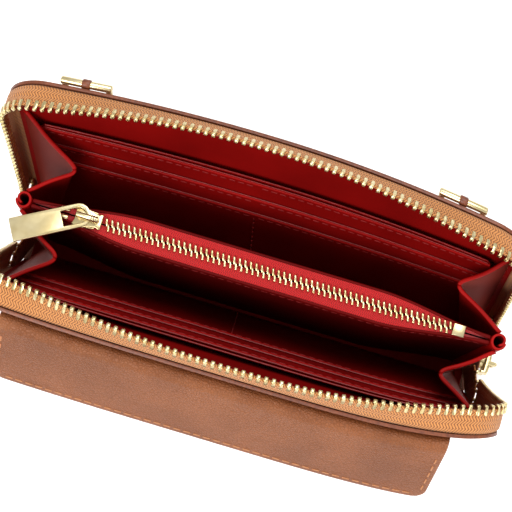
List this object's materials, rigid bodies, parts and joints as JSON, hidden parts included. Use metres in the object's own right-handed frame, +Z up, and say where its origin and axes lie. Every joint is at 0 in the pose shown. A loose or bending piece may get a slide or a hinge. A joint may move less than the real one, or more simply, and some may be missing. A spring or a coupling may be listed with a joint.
{
  "type": "zip around wallet",
  "caption": "Long zip around wallet standing open, with a zipped middle pocket between two card panels, folding side gussets, a front flap and two strap loops.",
  "frame": {"origin": "centre of the spine's flat underside, on the surface that the open wallet stands on", "axes": "+X along the zip from the end where the inner slider rests to the end of the outer slider, +Y towards the back cover with the strap loops, +Z up, with the covers open above the spine"},
  "size_m": [0.2102, 0.1198, 0.1107],
  "materials": {
    "tan_leather": "pebbled vegetable tanned leather, satin, darker at the folds",
    "brown_leather": "smooth dark brown leather",
    "red_leather": "smooth red lining leather with a soft sheen",
    "tan_tape": "herringbone woven zip tape",
    "red_tape": "woven red zip tape",
    "gold_metal": "polished pale gold plating",
    "magnet_steel": "plain steel",
    "stiffener_board": "grey bonded leather board, hidden"
  },
  "bodies": {
    "base": {"spine_leather": "tan_leather", "spine_lining": "red_leather", "pocket_wall_front": "red_leather", "pocket_wall_back": "red_leather", "pocket_floor": "red_leather", "pocket_border_front": "red_leather", "pocket_border_back": "red_leather", "pocket_tape_front": "red_tape", "pocket_tape_back": "red_tape", "pocket_teeth": "gold_metal", "pocket_bottom_stop": "gold_metal", "pocket_top_stops": "gold_metal", "side_tube_left": "red_leather", "side_tube_right": "red_leather", "zip_end_tabs": "tan_leather", "zip_end_tape": "tan_tape", "zip_end_teeth": "gold_metal"},
    "pocket_slider": {"pocket_slider": "gold_metal"},
    "pocket_puller": {"pocket_puller": "gold_metal"},
    "outer_slider": {"outer_slider": "gold_metal"},
    "outer_puller": {"outer_puller": "gold_metal"},
    "front_cover": {"front_cover_leather": "tan_leather", "front_cover_board": "stiffener_board", "front_cover_lining": "red_leather", "front_zip_tape": "tan_tape", "front_zip_teeth": "gold_metal", "front_bill_divider": "red_leather", "front_card_row_1": "red_leather", "front_card_row_2": "red_leather", "front_card_row_3": "red_leather", "front_pocket_panel": "tan_leather", "panel_magnets": "magnet_steel", "flap_root": "tan_leather"},
    "flap": {"flap_leather": "tan_leather", "flap_lining": "tan_leather", "flap_magnets": "magnet_steel"},
    "back_cover": {"back_cover_leather": "tan_leather", "back_cover_board": "stiffener_board", "back_cover_lining": "red_leather", "back_zip_tape": "tan_tape", "back_zip_teeth": "gold_metal", "back_bill_divider": "red_leather", "back_card_row_1": "red_leather", "back_card_row_2": "red_leather", "back_card_row_3": "red_leather", "strap_keepers": "brown_leather"},
    "strap_loop_left": {"strap_loop_left": "gold_metal"},
    "strap_loop_right": {"strap_loop_right": "gold_metal"},
    "gusset_front_left_inner": {"gusset_front_left_inner": "red_leather"},
    "gusset_front_left_outer": {"gusset_front_left_outer": "red_leather"},
    "gusset_front_right_inner": {"gusset_front_right_inner": "red_leather"},
    "gusset_front_right_outer": {"gusset_front_right_outer": "red_leather"},
    "gusset_back_left_inner": {"gusset_back_left_inner": "red_leather"},
    "gusset_back_left_outer": {"gusset_back_left_outer": "red_leather"},
    "gusset_back_right_inner": {"gusset_back_right_inner": "red_leather"},
    "gusset_back_right_outer": {"gusset_back_right_outer": "red_leather"}
  },
  "joints": [
    {"name": "front_cover_hinge", "type": "hinge", "parent": "base", "child": "front_cover", "pos_m": [0, -0.004, 0.006], "axis": [1, 0, 0], "range_deg": [-14, 3]},
    {"name": "back_cover_hinge", "type": "hinge", "parent": "base", "child": "back_cover", "pos_m": [0, 0.004, 0.006], "axis": [-1, 0, 0], "range_deg": [-14, 3]},
    {"name": "flap_hinge", "type": "hinge", "parent": "front_cover", "child": "flap", "pos_m": [0, -0.05248, 0.09514], "axis": [-1, 0, 0], "range_deg": [-52, 45]},
    {"name": "pocket_slider_slide", "type": "slide", "parent": "base", "child": "pocket_slider", "axis": [1, 0, 0], "range_m": [0, 0.138]},
    {"name": "pocket_puller_lift", "type": "hinge", "parent": "pocket_slider", "child": "pocket_puller", "pos_m": [-0.0683, 0, 0.08666], "axis": [0, 1, 0], "range_deg": [0, 120]},
    {"name": "outer_slider_slide", "type": "slide", "parent": "base", "child": "outer_slider", "axis": [0, 0, 1], "range_m": [0, 0.002]},
    {"name": "outer_puller_lift", "type": "hinge", "parent": "outer_slider", "child": "outer_puller", "pos_m": [0.10436, 0, 0.01722], "axis": [0, -1, 0], "range_deg": [0, 110]},
    {"name": "strap_loop_left_swing", "type": "hinge", "parent": "back_cover", "child": "strap_loop_left", "pos_m": [-0.073, 0.04639, 0.09001], "axis": [-1, 0, 0], "range_deg": [0, 140]},
    {"name": "strap_loop_right_swing", "type": "hinge", "parent": "back_cover", "child": "strap_loop_right", "pos_m": [0.073, 0.04639, 0.09001], "axis": [-1, 0, 0], "range_deg": [0, 140]},
    {"name": "gusset_front_left_inner_fold", "type": "hinge", "parent": "base", "child": "gusset_front_left_inner", "pos_m": [-0.094, -0.0037, -0.00496], "axis": [0, 0, -1], "range_deg": [-32, 7]},
    {"name": "gusset_front_left_outer_fold", "type": "hinge", "parent": "front_cover", "child": "gusset_front_left_outer", "pos_m": [-0.094, -0.0037, -0.00496], "axis": [0, -0.309, 0.9511], "range_deg": [-32, 7]},
    {"name": "gusset_front_right_inner_fold", "type": "hinge", "parent": "base", "child": "gusset_front_right_inner", "pos_m": [0.094, -0.0037, -0.00496], "axis": [0, 0, 1], "range_deg": [-32, 7]},
    {"name": "gusset_front_right_outer_fold", "type": "hinge", "parent": "front_cover", "child": "gusset_front_right_outer", "pos_m": [0.094, -0.0037, -0.00496], "axis": [0, 0.309, -0.9511], "range_deg": [-32, 7]},
    {"name": "gusset_back_left_inner_fold", "type": "hinge", "parent": "base", "child": "gusset_back_left_inner", "pos_m": [-0.094, 0.0037, -0.00496], "axis": [0, 0, 1], "range_deg": [-32, 7]},
    {"name": "gusset_back_left_outer_fold", "type": "hinge", "parent": "back_cover", "child": "gusset_back_left_outer", "pos_m": [-0.094, 0.0037, -0.00496], "axis": [0, -0.309, -0.9511], "range_deg": [-32, 7]},
    {"name": "gusset_back_right_inner_fold", "type": "hinge", "parent": "base", "child": "gusset_back_right_inner", "pos_m": [0.094, 0.0037, -0.00496], "axis": [0, 0, -1], "range_deg": [-32, 7]},
    {"name": "gusset_back_right_outer_fold", "type": "hinge", "parent": "back_cover", "child": "gusset_back_right_outer", "pos_m": [0.094, 0.0037, -0.00496], "axis": [0, 0.309, 0.9511], "range_deg": [-32, 7]}
  ],
  "couplings": [
    {"joint": "gusset_front_left_inner_fold", "follows": "front_cover_hinge", "ratio": 2.2},
    {"joint": "gusset_front_left_outer_fold", "follows": "front_cover_hinge", "ratio": 2.2},
    {"joint": "gusset_front_right_inner_fold", "follows": "front_cover_hinge", "ratio": 2.2},
    {"joint": "gusset_front_right_outer_fold", "follows": "front_cover_hinge", "ratio": 2.2},
    {"joint": "gusset_back_left_inner_fold", "follows": "back_cover_hinge", "ratio": 2.2},
    {"joint": "gusset_back_left_outer_fold", "follows": "back_cover_hinge", "ratio": 2.2},
    {"joint": "gusset_back_right_inner_fold", "follows": "back_cover_hinge", "ratio": 2.2},
    {"joint": "gusset_back_right_outer_fold", "follows": "back_cover_hinge", "ratio": 2.2}
  ]
}
